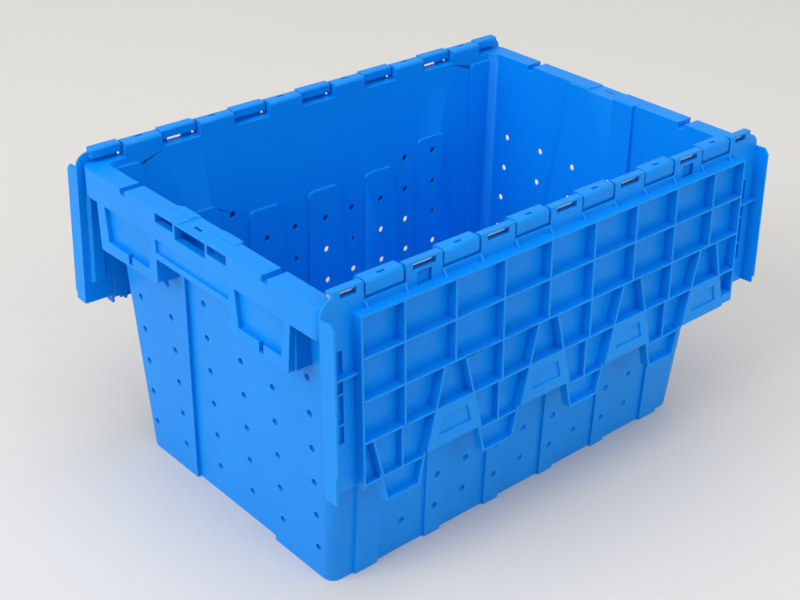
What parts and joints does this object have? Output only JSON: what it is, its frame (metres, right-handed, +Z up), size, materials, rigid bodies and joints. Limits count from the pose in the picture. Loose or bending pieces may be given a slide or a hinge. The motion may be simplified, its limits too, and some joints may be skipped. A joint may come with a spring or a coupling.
{
  "type": "attached-lid stacking crate",
  "caption": "Perforated, tapered plastic tub with hand grips at both ends and two toothed half lids that hang outside or fold over and interlock, so that crates nest open and stack closed.",
  "frame": {"origin": "middle of the base, on the ground", "axes": "+X along the length, +Y across the width towards the back lid, +Z up"},
  "size_m": [0.607, 0.4474, 0.3558],
  "materials": {
    "tub_plastic": "satin moulded polypropylene, blue",
    "lid_plastic": "satin moulded polypropylene, blue",
    "rod_steel": "drawn zinc-plated wire"
  },
  "bodies": {
    "tub": {"body": "tub_plastic", "hinge_rod_front": "rod_steel", "hinge_rod_back": "rod_steel"},
    "lid_a": {"lid_front": "lid_plastic"},
    "lid_b": {"lid_back": "lid_plastic"}
  },
  "joints": [
    {"name": "front_lid_hinge", "type": "hinge", "parent": "tub", "child": "lid_a", "pos_m": [0, -0.1936, 0.35], "axis": [-1, 0, 0], "range_deg": [0, 267.5]},
    {"name": "back_lid_hinge", "type": "hinge", "parent": "tub", "child": "lid_b", "pos_m": [0, 0.1936, 0.35], "axis": [1, 0, 0], "range_deg": [0, 267.5]}
  ]
}
